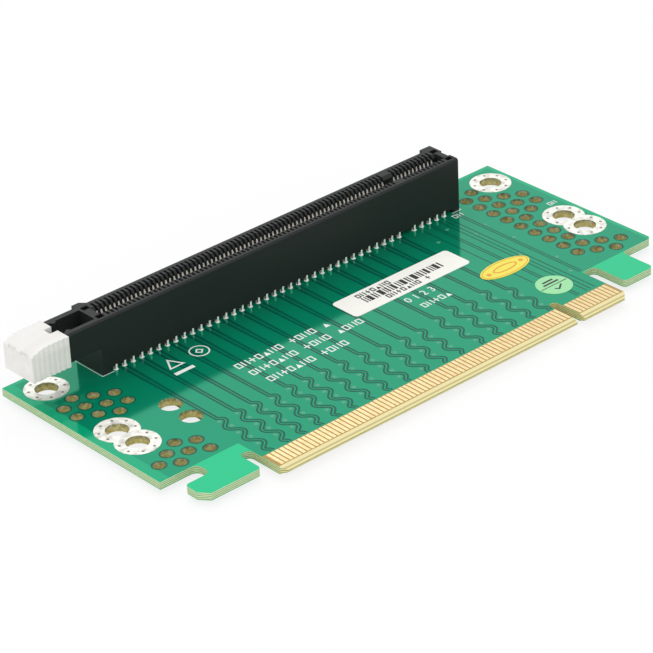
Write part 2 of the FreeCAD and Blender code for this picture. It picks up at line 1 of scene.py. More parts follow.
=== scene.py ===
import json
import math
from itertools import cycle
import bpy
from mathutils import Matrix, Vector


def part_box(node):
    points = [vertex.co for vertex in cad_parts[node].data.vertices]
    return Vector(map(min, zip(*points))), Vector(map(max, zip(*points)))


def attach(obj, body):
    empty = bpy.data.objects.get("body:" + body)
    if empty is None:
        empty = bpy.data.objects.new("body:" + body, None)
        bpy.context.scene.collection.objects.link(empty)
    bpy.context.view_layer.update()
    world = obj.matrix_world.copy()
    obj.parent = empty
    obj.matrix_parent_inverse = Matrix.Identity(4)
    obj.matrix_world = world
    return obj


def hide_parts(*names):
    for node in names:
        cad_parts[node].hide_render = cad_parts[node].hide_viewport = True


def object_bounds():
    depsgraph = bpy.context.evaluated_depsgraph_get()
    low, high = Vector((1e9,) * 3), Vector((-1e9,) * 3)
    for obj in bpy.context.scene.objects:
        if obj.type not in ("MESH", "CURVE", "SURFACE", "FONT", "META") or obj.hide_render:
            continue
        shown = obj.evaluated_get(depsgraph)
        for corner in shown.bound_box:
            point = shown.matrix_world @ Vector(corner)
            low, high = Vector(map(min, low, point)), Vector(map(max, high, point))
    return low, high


bl_info = {
    "name": "Riser card",
    "version": (1, 0, 0),
    "blender": (4, 5, 0),
    "location": "3D View > Sidebar > Riser card",
    "description": "Dresses the packed riser card: mask, traces, print, metals, plastics and stage",
    "category": "Object",
}

import bmesh
import bpy
from bpy.props import FloatProperty, FloatVectorProperty, IntProperty, PointerProperty
from mathutils import Matrix, Vector

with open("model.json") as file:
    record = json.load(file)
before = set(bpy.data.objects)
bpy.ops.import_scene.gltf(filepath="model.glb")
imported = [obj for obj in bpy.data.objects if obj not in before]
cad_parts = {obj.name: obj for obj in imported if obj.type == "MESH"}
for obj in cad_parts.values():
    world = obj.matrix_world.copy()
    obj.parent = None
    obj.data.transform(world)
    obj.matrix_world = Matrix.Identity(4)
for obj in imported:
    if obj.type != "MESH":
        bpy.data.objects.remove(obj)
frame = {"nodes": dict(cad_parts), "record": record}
cad_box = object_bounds()

MM = 0.001
RISER = "riser"
RETAINER = "retainer"

board_low, board_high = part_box("circuit_board")
long_low, long_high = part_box("fingers_top_long")
short_low, short_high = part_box("fingers_top_short")
housing_low, housing_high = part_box("slot_housing")
barcode_low, barcode_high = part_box("barcode_label")
round_low, round_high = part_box("round_label")
joints_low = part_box("solder_joints_front_outer")[0]
rear_rings_low, rear_rings_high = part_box("screw_pads_rear")

TOP = board_high.z
SHORT_PINS = 11
LONG_PINS = 71
FINGER = 0.7 * MM
PITCH = (short_high.x - short_low.x - FINGER) / (SHORT_PINS - 1)
LEAD_PITCH = 2 * PITCH
PAD_RADIUS = (rear_rings_high.y - rear_rings_low.y) / 2
HOLE_RADIUS = 2.2 * MM
TAIL = 0.3 * MM
LEAD_WIDTH = 0.40 * MM
LEAD_RISE = 1.15 * MM
RING_SKIN = 0.03 * MM
# Solder: shares of its foot's radius, with heights in millimetres or shares of its depth
BEAD_PROFILE = ((0, 0), (1, 0), (0.92, 0.05), (0.6, 0.09), (0, 0.1))
CONE_PROFILE = ((0, 0), (1, 0), (0.96, 0.08), (0.7, 0.28), (0.42, 0.6), (0.3, 0.85), (0.18, 0.97),
                (0, 1))
RIB_DEPTH = 0.32 * MM
TONGUE_MARGIN = 0.75 * MM
WING_FRONT = 12.05 * MM
BEVEL_REAR = 1.32 * MM
PLY = 0.38 * MM
SOFT_EDGE = 0.02 * MM

# Colours that follow from the laminate and stay as they are
TONGUE_LAMINATE = (0.78, 0.68, 0.33)
DARK_PLY = (0.36, 0.36, 0.11)
THREADS = (0.05, 0.20, 0.05)
# Painted shade for the upper part of the drilled walls
HOLE_SHADE = (0.10, 0.11, 0.03)
HOLE_SPECKS = (0.9, 0.85, 0.6)
FINGER_GROUND = ((0.38, 0.24, 0.07), (0.52, 0.36, 0.13))
BEVEL_PLIES = ((0.84, 0.74, 0.40), (0.42, 0.36, 0.13))

# Ventilation holes: first columns, pitch, and rows of each column in half pitches
VENT_LEFT = board_low.x + 3.33 * MM
VENT_RIGHT = 17.91 * MM
VENT_FRONT = 14.42 * MM
VENT_PITCH = 3.81 * MM
VENT_RADIUS = 1.2 * MM
VENTS_LEFT = ((1, 13, 15), (0, 2, 12, 14, 16), (1, 3, 11, 13, 15), (0, 2, 12, 14))
VENTS_RIGHT = (range(2, 19, 2), range(1, 20, 2), (0, 2, 12, 14, 16), (1, 13, 15))

# Paired traces: front end, roundness of the waves, and the stretches along the board in which the
# waves fade, the pair draws near and its lines grow narrow
TRACE_FRONT = long_high.y + 0.5 * MM
WAVE_ROUNDING = 0.8
FADE_TOP = (0.0, 0.9 * MM)
FADE_FRONT = (0.2 * MM, 1.6 * MM)
DRAW_NEAR = (1 * MM, 18 * MM)
GROW_NARROW = (3 * MM, 20 * MM)
LOWER_GAP = 1.1 * MM
# Where the waves of each pair of traces start: across and along the board, in millimetres
WAVE_STARTS = ((-69.9, 21.2), (-65.9, 21.1), (-62.2, 21.0), (-58.3, 20.6), (-54.1, 20.9),
               (-50.3, 20.7), (-46.2, 20.7), (-42.0, 20.6), (-37.4, 20.1), (-32.8, 19.3),
               (-28.4, 18.8), (-24.2, 18.7), (-18.9, 19.7), (-14.4, 20.8), (-10.5, 19.8),
               (-6.0, 20.6), (-1.8, 17.8))
# Straight traces: across, front end and rear end, in millimetres
STRAIGHT_LINES = ((3.4, 15.8, 46.6), (5.6, 6.4, 46.6), (6.2, 6.4, 46.6), (8.2, 6.4, 46.6),
                  (9.2, 6.4, 46.6), (10.3, 6.4, 46.6), (12.5, 12.5, 45.5), (13.1, 12.5, 45.5))
LONE_VIAS = ((13.6, 39.0), (13.7, 31.2), (13.8, 19.7), (11.6, 14.0), (7.0, 42.8), (9.6, 37.5),
             (9.7, 25.4), (2.2, 40.2))

# Lines of simple marks: left end, foot, length and height, in millimetres
MARK_LINES = ((-56.0, 31.2, 24.0, 1.75), (-55.6, 27.6, 27.6, 1.75), (-54.8, 23.7, 20.8, 1.75),
              (-17.2, 23.4, 8.6, 1.6), (11.4, 44.9, 3.2, 1.4), (28.0, 35.4, 3.0, 1.2))
MARK_RULE = ("square", "bars", "cross", "square", "wedge", "bars", "square", "gap", "cross",
             "square", "bars", "square", "gap", "wedge", "square", "bars")
# Plain numbers: words, size, left end and foot, in millimetres
NUMBERS = ("0 1 2 3", 2.6, -18.2, 26.9)
# Outline round the slot: its left end before the long fingers, length of its short runs, width
OUTLINE_LEFT = 2.95 * MM
OUTLINE_RUNS = (2.6 * MM, 2.2 * MM)
OUTLINE_WIDTH = 0.16 * MM
# Small shapes beside the slot, in millimetres: ring, bar and triangle
RING_PLACE = (-56.8, 41.5)
BAR_SIDES = (-65.3, -60.9, 37.6, 38.5)
PEAK_OUTER = ((-64.9, 40.0), (-61.3, 40.0), (-63.1, 43.4))
PEAK_INNER = ((-64.3, 40.35), (-61.9, 40.35), (-63.1, 42.65))
# Stickers, in millimetres: bars and gaps, tick, and the bars above it as half length and foot
BAR_WIDTHS = (0.3, 0.26, 0.85, 0.38, 0.26, 1.0, 0.26, 0.42, 0.3, 0.7)
BAR_GAPS = (0.36, 0.26, 0.42, 0.3, 0.5)
TICK = ((-1.1, -1.25), (-0.35, -2.0), (1.3, -0.75), (1.05, -0.5), (-0.35, -1.55), (-0.85, -1.0))
ROUND_BARS = ((1.9, 0.65), (1.3, 1.55))
ROUND_BAR_WIDTH = 0.45

# Camera: turn, lift and roll in degrees, place in millimetres. Lights aim at the card's middle.
CAMERA_ANGLES = (-40.50, 29.54, -2.81)
CAMERA_PLACE = (-355.5, -344.2, 281.5)
LIGHT_AIM = (-0.03, 0.03, 0)


# Sizes and colours that a user would change

def color_prop(name, description, default):
    return FloatVectorProperty(name=name, description=description, default=default,
                               subtype="COLOR", size=3, min=0, max=1)


def length_prop(name, description, default, low, high):
    """Length whose default and limits are given in millimetres."""
    return FloatProperty(name=name, description=description, default=default * MM,
                         min=low * MM, max=high * MM, subtype="DISTANCE", unit="LENGTH")


class BoardLook(bpy.types.PropertyGroup):
    mask_color: color_prop("Mask over copper", "Solder mask where copper lies under it",
                           (0.0, 0.325, 0.17))
    bare_color: color_prop("Mask over laminate", "Solder mask on the hook and the tab",
                           (0.0, 0.56, 0.25))
    trace_color: color_prop("Mask over gaps", "Dark lines beside the traces", (0.0, 0.08, 0.052))
    edge_color: color_prop("Laminate edge", "Cut edge of the glass-fibre laminate",
                           (0.60, 0.77, 0.48))
    hole_color: color_prop("Hole wall", "Drilled wall of the ventilation holes", (0.47, 0.39, 0.09))
    trace_width: length_prop("Line width", "Width of one dark line", 0.35, 0.05, 0.5)
    trace_relief: length_prop("Line relief", "Height of a line over the mask", 0.012, 0, 0.1)
    rim_width: length_prop("Rim width", "Dark rim round a ventilation hole", 0.26, 0.05, 0.5)
    wave_swing: length_prop("Wave swing", "Half width of the length-matching waves", 0.92, 0, 1.5)
    wave_length: length_prop("Wave length", "Length of one wave along the board", 5.15, 1, 8)


class MetalLook(bpy.types.PropertyGroup):
    gold_color: color_prop("Gold", "Plating of the edge contacts", (0.90, 0.72, 0.40))
    tin_color: color_prop("Tin", "Solder under the board", (0.82, 0.80, 0.78))
    # Near white, so the leads and their beads of solder carry a painted highlight
    lead_glint_color: color_prop("Leads", "Tinned leads at the foot of the housing", (0.97, 0.96, 0.93))
    # Near white, so the slot's contacts carry a painted highlight
    spring_glint_color: color_prop("Spring metal", "Contacts inside the slot", (0.96, 0.93, 0.86))
    ring_color: color_prop("Rings", "Tinned rings round the screw holes", (0.86, 0.86, 0.80))
    solder_radius: length_prop("Solder radius", "Foot of the solder round a lead", 0.54, 0.3, 0.9)
    via_radius: length_prop("Via radius", "Small plated holes in the screw rings", 0.29, 0.05, 0.4)
    via_count: IntProperty(
        name="Vias in a ring", description="Small plated holes round one screw hole",
        default=8, min=3, max=16)


class PlasticLook(bpy.types.PropertyGroup):
    housing_color: color_prop("Housing", "Black moulded housing of the slot", (0.013, 0.015, 0.015))
    retainer_color: color_prop("Retainer", "Pale moulded card retainer", (0.80, 0.79, 0.76))
    rib_softness: FloatProperty(
        name="Rib softness", description="Share of the grip ribs' height that is worn off",
        default=0.45, min=0, max=0.9, subtype="FACTOR")
    retainer_edge: length_prop("Retainer edge", "Edge rounding of the retainer", 0.09, 0, 0.3)


class PrintLook(bpy.types.PropertyGroup):
    ink_color: color_prop("Print", "White print on the board", (0.86, 0.90, 0.86))
    paper_color: color_prop("Bar label", "Paper of the label with bars", (0.94, 0.94, 0.88))
    oval_color: color_prop("Oval label", "Yellow oval label", (0.88, 0.77, 0.06))
    round_color: color_prop("Round label", "Green round label", (0.31, 0.74, 0.36))
    ink_height: length_prop("Ink height", "Thickness of printed ink", 0.02, 0.002, 0.05)


class StageLook(bpy.types.PropertyGroup):
    floor_color: color_prop("Floor", "Pale studio floor", (0.93, 0.93, 0.93))
    lens: FloatProperty(
        name="Lens", description="Focal length of the camera in millimetres",
        default=170.13, min=20, max=400, unit="CAMERA")
    key_power: FloatProperty(
        name="Key light", description="Power of the large light behind the card",
        default=1.0, min=0, max=50, unit="POWER")
    fill_power: FloatProperty(
        name="Fill light", description="Power of the soft light at the front",
        default=0.8, min=0, max=50, unit="POWER")


def looks(name):
    return getattr(bpy.context.scene, "riser_" + name)


# Helpers for nodes

def feed(tree, node, inputs):
    """Sets inputs by name or number, each to a value or to another node's output."""
    for key, given in inputs.items() if isinstance(inputs, dict) else enumerate(inputs):
        if isinstance(given, bpy.types.NodeSocket):
            tree.links.new(given, node.inputs[key])
        else:
            node.inputs[key].default_value = given


def add_node(tree, kind, inputs=(), **settings):
    node = tree.nodes.new(kind)
    for key, setting in settings.items():
        setattr(node, key, setting)
    feed(tree, node, inputs)
    return node


def result(tree, kind, inputs=(), **settings):
    """First output of a new node."""
    return add_node(tree, kind, inputs, **settings).outputs[0]


def calc(tree, operation, first, second=0.0):
    return result(tree, "ShaderNodeMath", (first, second), operation=operation)


def times(tree, first, second):
    return calc(tree, "MULTIPLY", first, second)


def less(tree, value, limit):
    """1 where the value is under the limit."""
    return calc(tree, "LESS_THAN", value, limit)


def opposite(tree, value):
    """1 less the value."""
    return calc(tree, "SUBTRACT", 1.0, value)


def ramp(tree, value, low, high, start=0.0, end=1.0, shape="LINEAR"):
    """Goes from start to end while the value goes from low to high."""
    return result(tree, "ShaderNodeMapRange", (value, low, high, start, end),
                  interpolation_type=shape)


def band(tree, value, low, high):
    """1 between low and high, falling to 0 over a soft edge."""
    return times(tree, ramp(tree, value, low - SOFT_EDGE, low + SOFT_EDGE),
                 ramp(tree, value, high - SOFT_EDGE, high + SOFT_EDGE, 1.0, 0.0))


def vector_of(tree, x=0.0, y=0.0, z=0.0):
    return result(tree, "ShaderNodeCombineXYZ", (x, y, z))


def parts_of(tree, vector):
    return add_node(tree, "ShaderNodeSeparateXYZ", (vector,)).outputs


# Helpers for materials

def new_material(name):
    """Node material with a Principled shader wired to its output."""
    material = bpy.data.materials.new(name)
    material.use_nodes = True
    tree = material.node_tree
    tree.nodes.clear()
    shader = tree.nodes.new("ShaderNodeBsdfPrincipled")
    add_node(tree, "ShaderNodeOutputMaterial", {"Surface": shader.outputs["BSDF"]})
    return material, tree, shader


def object_place(tree):
    return tree.nodes.new("ShaderNodeTexCoord").outputs["Object"]


def tint(color, share):
    """Lighter or darker colour."""
    return [min(1, part * share) for part in color]


def mix_colors(tree, amount, first, second):
    """Blend of two colours, each given as numbers or as a node's output."""
    first, second = (given if isinstance(given, bpy.types.NodeSocket) else (*given[:3], 1)
                     for given in (first, second))
    node = add_node(tree, "ShaderNodeMix", {0: amount, 6: first, 7: second}, data_type="RGBA")
    return node.outputs[2]


def noise(tree, vector, scale, detail, roughness=0.5):
    return result(tree, "ShaderNodeTexNoise", {
        "Vector": vector, "Scale": scale, "Detail": detail, "Roughness": roughness})


def mottled(tree, vector, scale, detail, color, darker, lighter):
    """Colour that wanders between two of its tints."""
    return mix_colors(tree, noise(tree, vector, scale, detail), tint(color, darker),
                      tint(color, lighter))


def grain_group():
    """Shared fine grain: a bump normal and a value between 0 and 1."""
    name = "fine_grain"
    if name in bpy.data.node_groups:
        return bpy.data.node_groups[name]
    group = bpy.data.node_groups.new(name, "ShaderNodeTree")
    face = group.interface
    for label, default in (("Scale", 4000.0), ("Height", 0.00001), ("Strength", 0.3)):
        socket = face.new_socket(label, in_out="INPUT", socket_type="NodeSocketFloat")
        socket.default_value = default
    face.new_socket("Value", in_out="OUTPUT", socket_type="NodeSocketFloat")
    face.new_socket("Normal", in_out="OUTPUT", socket_type="NodeSocketVector")
    given = group.nodes.new("NodeGroupInput").outputs
    value = noise(group, object_place(group), given["Scale"], 3.0, 0.55)
    bump = result(group, "ShaderNodeBump", {
        "Strength": given["Strength"], "Distance": given["Height"], "Height": value})
    add_node(group, "NodeGroupOutput", {"Value": value, "Normal": bump})
    return group


def add_grain(tree, shader, scale, height, strength, roughness=None):
    """Fine grain on a shader's normal, and on its roughness between two values."""
    grain = add_node(tree, "ShaderNodeGroup", node_tree=grain_group())
    feed(tree, grain, {"Scale": scale, "Height": height, "Strength": strength})
    feed(tree, shader, {"Normal": grain.outputs["Normal"]})
    if roughness:
        rough = ramp(tree, grain.outputs["Value"], 0.2, 0.8, *roughness)
        feed(tree, shader, {"Roughness": rough})


def paint(mesh, material):
    mesh.materials.clear()
    mesh.materials.append(material)


def dress(material, *names):
    """Gives CAD nodes one material."""
    for name in names:
        paint(frame["nodes"][name].data, material)


# Helpers for meshes

def new_object(name, data):
    item = bpy.data.objects.new(name, data)
    bpy.context.scene.collection.objects.link(item)
    return item


def add_piece(name, shape, material=None, body=RISER):
    """Object from a mesh or from mesh work, riding on a body and taking a slot's finish."""
    mesh = finish_mesh(shape) if isinstance(shape, bmesh.types.BMesh) else shape
    mesh.name = name
    item = new_object(name, mesh)
    if material is not None:
        paint(mesh, material)
    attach(item, body)
    return item


def finish_mesh(work, *ready):
    """Mesh from mesh work, faces turned outwards, with finished meshes added to it."""
    bmesh.ops.recalc_face_normals(work, faces=work.faces)
    for other in ready:
        work.from_mesh(other)
        bpy.data.meshes.remove(other)
    mesh = bpy.data.meshes.new("finished")
    work.to_mesh(mesh)
    work.free()
    return mesh


def evaluated_mesh(item):
    """Plain mesh of an object with its modifiers."""
    graph = bpy.context.evaluated_depsgraph_get()
    return bpy.data.meshes.new_from_object(item.evaluated_get(graph))


def copy_of(node):
    """Merged copy of a CAD node's mesh."""
    mesh = frame["nodes"][node].data.copy()
    work = bmesh.new()
    work.from_mesh(mesh)
    bmesh.ops.remove_doubles(work, verts=work.verts, dist=0.5e-6)
    bmesh.ops.dissolve_limit(work, verts=work.verts, edges=work.edges,
                             angle_limit=math.radians(0.5))
    work.to_mesh(mesh)
    work.free()
    mesh.materials.clear()
    return mesh


def rectangle(left, right, front, back):
    return [(left, front), (right, front), (right, back), (left, back)]


def disc(x, y, radius_x, radius_y=None, sides=48):
    radius_y = radius_y or radius_x
    turns = [2 * math.pi * index / sides for index in range(sides)]
    return [(x + radius_x * math.cos(turn), y + radius_y * math.sin(turn)) for turn in turns]


def mm(sizes):
    """Sizes given in millimetres."""
    return [size * MM for size in sizes]


def outline_mm(places, x=0.0, y=0.0):
    """Outline given in millimetres from a place in metres."""
    return [(x + across * MM, y + along * MM) for across, along in places]


def add_slab(work, outline, layer):
    """Closed prism over an outline that turns left, between a layer's two heights."""
    bottom, top = ([work.verts.new((x, y, z)) for x, y in outline] for z in layer)
    work.faces.new(reversed(bottom))
    work.faces.new(top)
    for index in range(len(outline)):
        following = (index + 1) % len(outline)
        work.faces.new((bottom[index], bottom[following], top[following], top[index]))


def add_bar(work, left, right, front, back, layer):
    add_slab(work, rectangle(left, right, front, back), layer)


def add_ring(work, outer, inner, layer):
    """Closed flat ring between two outlines of as many points."""
    low, high = layer
    rows = [[work.verts.new((x, y, z)) for x, y in line]
            for line, z in ((outer, low), (outer, high), (inner, high), (inner, low))]
    for start, end in zip(rows, rows[1:] + rows[:1]):
        for index in range(len(outer)):
            following = (index + 1) % len(outer)
            work.faces.new((start[index], start[following], end[following], end[index]))


def add_marks(work, left, front, length, height, layer, boldness=0.15):
    """Line of simple printed shapes by a fixed rule: squares, bars, crosses and wedges."""
    stroke = height * boldness
    wide = height * 0.7
    step = height * 0.92
    back = front + height
    for index, kind in zip(range(int(length / step)), cycle(MARK_RULE)):
        x = left + index * step
        right = x + wide
        middle = x + wide / 2
        if kind == "square":
            add_ring(work, rectangle(x, right, front, back),
                     rectangle(x + stroke, right - stroke, front + stroke, back - stroke), layer)
        elif kind == "bars":
            for start in (x, right - stroke):
                add_bar(work, start, start + stroke, front, back, layer)
        elif kind == "cross":
            add_bar(work, middle - stroke / 2, middle + stroke / 2, front, back, layer)
            for start, stop in ((x, middle - stroke / 2), (middle + stroke / 2, right)):
                add_bar(work, start, stop, front + height * 0.42, front + height * 0.58, layer)
        elif kind == "wedge":
            add_slab(work, [(x, front), (right, front), (middle, front + height * 0.8)], layer)


def text_mesh(words, size, x, y, z):
    """Flat figures as thick as ink, with their middle at the height z."""
    curve = bpy.data.curves.new("letters", "FONT")
    curve.body = words
    curve.size = size
    curve.extrude = looks("print").ink_height / 2
    curve.resolution_u = 3
    item = new_object("letters", curve)
    mesh = evaluated_mesh(item)
    bpy.data.objects.remove(item)
    bpy.data.curves.remove(curve)
    mesh.transform(Matrix.Translation((x, y, z)))
    return mesh


def turned_mesh(profile, sides):
    """Closed turned shape from (radius, height) pairs, both ends with a pole."""
    work = bmesh.new()
    rings = []
    for radius, height in profile:
        rim = disc(0, 0, radius, sides=sides) if radius else [(0, 0)]
        rings.append([work.verts.new((x, y, height)) for x, y in rim])
    for first, second in zip(rings, rings[1:]):
        for index in range(sides):
            following = (index + 1) % sides
            corners = [first[index % len(first)], first[following % len(first)],
                       second[following % len(second)], second[index % len(second)]]
            work.faces.new(list(dict.fromkeys(corners)))
    mesh = finish_mesh(work)
    mesh.shade_smooth()
    return mesh


def mount_holes(name):
    """Hole centres of a bolt pattern in the board's plane."""
    entry = {entry["name"]: entry for entry in frame["record"]["mounts"]}[name]
    x, y, _ = entry["pos_m"]
    half_x = entry["dims"].get("spacing_x_mm", 0) * MM / 2
    half_y = entry["dims"].get("spacing_y_mm", 0) * MM / 2
    across = (-half_x, half_x) if half_x else (0,)
    along = (-half_y, half_y) if half_y else (0,)
    return [(x + dx, y + dy) for dx in across for dy in along]


# Helpers for geometry nodes

def new_tree(name, inputs):
    """Geometry tree with named inputs and their defaults."""
    tree = bpy.data.node_groups.new(name, "GeometryNodeTree")
    face = tree.interface
    face.new_socket("Geometry", in_out="INPUT", socket_type="NodeSocketGeometry")
    for label, default in inputs.items():
        kind = "NodeSocketInt" if isinstance(default, int) else "NodeSocketFloat"
        face.new_socket(label, in_out="INPUT", socket_type=kind).default_value = default
    face.new_socket("Geometry", in_out="OUTPUT", socket_type="NodeSocketGeometry")
    return tree, tree.nodes.new("NodeGroupInput").outputs


def close_tree(tree, geometry, material):
    """Realized instances and one material at the tree's end."""
    real = result(tree, "GeometryNodeRealizeInstances", (geometry,))
    painted = result(tree, "GeometryNodeSetMaterial", {"Geometry": real, "Material": material})
    add_node(tree, "NodeGroupOutput", (painted,))


def copies_on(tree, points, shape):
    return result(tree, "GeometryNodeInstanceOnPoints", {"Points": points, "Instance": shape})


def strip_along(tree, curve, given, more=None):
    """Flat strip along a level curve, with plain shading so that its top stays even."""
    upright = result(tree, "GeometryNodeSetCurveNormal", {"Curve": curve}, mode="Z_UP")
    profile = result(tree, "GeometryNodeCurvePrimitiveQuadrilateral",
                     {"Width": given["Width"], "Height": given["Height"]}, mode="RECTANGLE")
    swept = result(tree, "GeometryNodeCurveToMesh",
                   {"Curve": upright, "Profile Curve": profile, **(more or {})})
    return result(tree, "GeometryNodeSetShadeSmooth", {"Geometry": swept, "Shade Smooth": False})


def grow(tree, mesh, settings):
    """Plain mesh that a tree makes out of a start mesh."""
    item = new_object("grown", mesh)
    modifier = item.modifiers.new("grow", "NODES")
    modifier.node_group = tree
    for socket in tree.interface.items_tree:
        if socket.in_out == "INPUT" and socket.name in settings:
            modifier[socket.identifier] = settings[socket.name]
    grown = evaluated_mesh(item)
    item.modifiers.remove(modifier)
    bpy.data.objects.remove(item)
    bpy.data.meshes.remove(mesh)
    return grown


def points_mesh(places, **attributes):
    """Loose points with number attributes."""
    mesh = bpy.data.meshes.new("places")
    mesh.from_pydata(places, [], [])
    for key, numbers in attributes.items():
        mesh.attributes.new(key, "FLOAT", "POINT").data.foreach_set("value", numbers)
    return mesh


def scatter(name, places, material, radius, height, sides):
    """Piece of flat discs, one on each place."""
    tree, given = new_tree(name, {"Radius": 0.0003, "Height": 0.00001, "Sides": 12})
    flat = result(tree, "GeometryNodeMeshCylinder", {
        "Vertices": given["Sides"], "Radius": given["Radius"], "Depth": given["Height"]})
    close_tree(tree, copies_on(tree, given["Geometry"], flat), material)
    mesh = grow(tree, points_mesh(places), {"Radius": radius, "Height": height, "Sides": sides})
    add_piece(name, mesh)


def rows_tree(name, material):
    """Two rows of copies of the start mesh, one for each side of the key."""
    tree, given = new_tree(name, {
        "Pitch": 0.002, "Line": 0.0, "Level": 0.0, "Long start": 0.0, "Long count": 1,
        "Short start": 0.0, "Short count": 1})
    joined = tree.nodes.new("GeometryNodeJoinGeometry")
    step = vector_of(tree, given["Pitch"])
    for side in ("Short", "Long"):
        start = vector_of(tree, given[side + " start"], given["Line"], given["Level"])
        line = result(tree, "GeometryNodeMeshLine", {
            "Count": given[side + " count"], "Start Location": start, "Offset": step},
            mode="OFFSET")
        feed(tree, joined, (copies_on(tree, line, given["Geometry"]),))
    close_tree(tree, joined.outputs[0], material)
    return tree


def lead_rows(skip):
    """Start and count of every second lead, on both sides of the key, after 0 or 1 skipped."""
    return {"Long start": long_low.x + FINGER / 2 + skip * PITCH,
            "Long count": (LONG_PINS - skip - 1) // 2 + 1,
            "Short start": short_low.x + FINGER / 2 + (1 - skip) * PITCH,
            "Short count": (SHORT_PINS + skip - 2) // 2 + 1}


# Materials

def mask_material():
    """Glossy green mask with bare margins, laminate edges and drilled walls."""
    look = looks("board")
    material, tree, shader = new_material("solder_mask")
    vector = object_place(tree)
    x, y, z = parts_of(tree, vector)
    facing = tree.nodes.new("ShaderNodeNewGeometry").outputs["True Normal"]
    wall = less(tree, calc(tree, "ABSOLUTE", parts_of(tree, facing)[2]), 0.7)
    tongue = band(tree, x, long_low.x - TONGUE_MARGIN, short_high.x + TONGUE_MARGIN)
    finger_zone = times(tree, tongue, less(tree, y, long_high.y + 0.15 * MM))
    dust = noise(tree, vector, 1500.0, 3.0)

    # Mask: paler on the hook, the tab and the margins, where no copper lies under it
    tabs = times(tree, less(tree, y, WING_FRONT), opposite(tree, tongue))
    core = times(tree, band(tree, x, board_low.x + 2.1 * MM, board_high.x - 0.9 * MM),
                 less(tree, y, board_high.y - 0.9 * MM))
    bare = calc(tree, "MAXIMUM", tabs, times(tree, opposite(tree, core), 0.4))
    copper = mix_colors(tree, times(tree, noise(tree, vector, 90.0, 2.0), 0.35), look.mask_color,
                        tint(look.mask_color, 1.12))
    top = mix_colors(tree, bare, copper, look.bare_color)

    # Cut edges: plies, threads of glass, and a skin of mask above and below
    weave = add_node(tree, "ShaderNodeTexWave",
                     {"Vector": vector, "Scale": 900.0, "Distortion": 1.5, "Detail": 2.0},
                     wave_type="BANDS", bands_direction="Z").outputs["Fac"]
    stretched = result(tree, "ShaderNodeMapping", {"Vector": vector, "Scale": (900, 900, 5200)})
    threads = ramp(tree, times(tree, weave, noise(tree, stretched, 1.0, 3.0)), 0.12, 0.42)
    plies = ramp(tree, calc(tree, "SINE", times(tree, z, 2 * math.pi / PLY)), 0.1, 0.8, 0.0, 0.7)
    cream = mix_colors(tree, tongue, look.edge_color, TONGUE_LAMINATE)
    cream = mix_colors(tree, plies, cream, DARK_PLY)
    laminate = mix_colors(tree, threads, cream, mix_colors(tree, 0.62, cream, THREADS))
    skin = opposite(tree, band(tree, z, 0.07 * MM, TOP - 0.07 * MM))
    edge = mix_colors(tree, skin, laminate, look.bare_color)

    # Drilled walls, with painted shade darkening them towards the top, and speckled
    drilled = mix_colors(tree, ramp(tree, z, 0.45 * TOP, 0.95 * TOP), look.hole_color, HOLE_SHADE)
    drilled = mix_colors(tree, ramp(tree, dust, 0.35, 0.7), drilled,
                         mix_colors(tree, 0.55, drilled, HOLE_SPECKS))
    inside = times(tree, band(tree, x, board_low.x + 0.4 * MM, board_high.x - 0.4 * MM),
                   band(tree, y, WING_FRONT + 0.4 * MM, board_high.y - 0.4 * MM))
    sides = mix_colors(tree, inside, edge, drilled)

    # Bare laminate between the fingers and on the tongue's bevel
    bared = mix_colors(tree, less(tree, y, BEVEL_REAR), mix_colors(tree, dust, *FINGER_GROUND),
                       mix_colors(tree, plies, *BEVEL_PLIES))
    face = mix_colors(tree, finger_zone, top, bared)

    glossy = opposite(tree, calc(tree, "MAXIMUM", wall, finger_zone))
    feed(tree, shader, {
        "Base Color": mix_colors(tree, wall, face, sides),
        "Metallic": times(tree, times(tree, glossy, opposite(tree, bare)), 0.42),
        "Roughness": ramp(tree, glossy, 0.0, 1.0, 0.62, 0.1), "Specular IOR Level": 0.3})
    add_grain(tree, shader, 2600.0, 0.004 * MM, 0.12)
    return material


def sunk_line_material():
    """Mask where it dips beside the copper: darker and without metal below."""
    color = looks("board").trace_color
    material, tree, shader = new_material("mask_over_gaps")
    feed(tree, shader, {
        "Base Color": mottled(tree, object_place(tree), 700.0, 2.0, color, 1.0, 1.4),
        "Roughness": 0.12, "Specular IOR Level": 0.2})
    add_grain(tree, shader, 3000.0, 0.004 * MM, 0.1)
    return material


def metal_material(name, color, dark, patch, rough, scale, relief, metallic=1.0):
    """Plated metal with soft dark patches and an uneven skin."""
    material, tree, shader = new_material(name)
    patches = ramp(tree, noise(tree, object_place(tree), scale, 3.0), 0.45, 0.75)
    feed(tree, shader, {"Base Color": mix_colors(tree, times(tree, patches, patch), color, dark),
                        "Metallic": metallic})
    add_grain(tree, shader, scale * 1.6, relief, 0.5, (rough * 0.75, rough * 1.35))
    return material


def plastic_material(name, color, rough, scale, relief, specular):
    """Moulded plastic with a fine spark-eroded grain and faint flow marks."""
    material, tree, shader = new_material(name)
    flow = result(tree, "ShaderNodeMapping",
                  {"Vector": object_place(tree), "Scale": (60, 400, 400)})
    feed(tree, shader, {"Base Color": mottled(tree, flow, 1.0, 2.0, color, 0.9, 1.12),
                        "Specular IOR Level": specular})
    add_grain(tree, shader, scale, relief, 0.35, (rough * 0.85, rough * 1.15))
    return material


def paper_material(name, color, gloss):
    """Coated label paper with faint fibres."""
    material, tree, shader = new_material(name)
    feed(tree, shader, {
        "Base Color": mottled(tree, object_place(tree), 1800.0, 4.0, color, 0.96, 1.03),
        "Coat Weight": gloss, "Coat Roughness": 0.2})
    add_grain(tree, shader, 5000.0, 0.003 * MM, 0.2, (0.45, 0.6))
    return material


